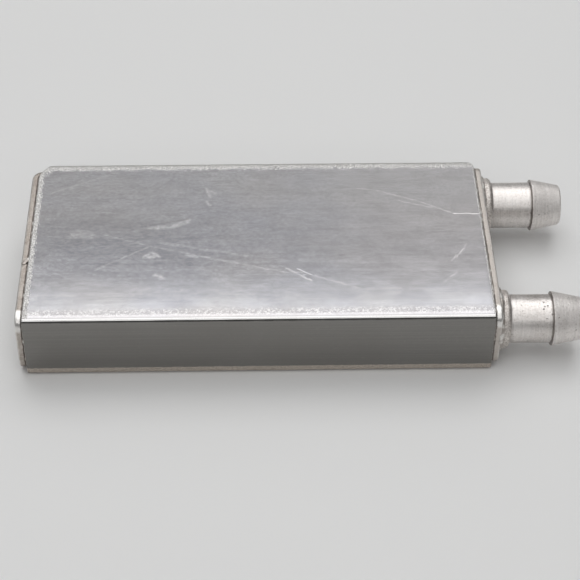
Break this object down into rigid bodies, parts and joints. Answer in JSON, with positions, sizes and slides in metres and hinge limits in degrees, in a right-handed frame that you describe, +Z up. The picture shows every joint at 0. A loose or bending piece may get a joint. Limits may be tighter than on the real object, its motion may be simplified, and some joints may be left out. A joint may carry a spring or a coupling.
{
  "type": "cpu water block",
  "caption": "Flat brazed aluminium liquid cooling block: a finned channel extrusion closed by end plates, with barbed hose tails side by side on one end",
  "frame": {"origin": "centre of the extrusion's base face", "axes": "+X along the block towards the hose tails, +Y across it towards the outlet tail, +Z up from the base face"},
  "size_m": [0.0941, 0.0406, 0.0125],
  "materials": {
    "body_aluminium": "satin",
    "plate_aluminium": "matte",
    "tail_aluminium": "bead blasted"
  },
  "bodies": {
    "root": {"channel_body": "body_aluminium", "closed_end_plate": "plate_aluminium", "port_end_plate": "plate_aluminium", "inlet_hose_tail": "tail_aluminium", "outlet_hose_tail": "tail_aluminium"}
  },
  "joints": []
}
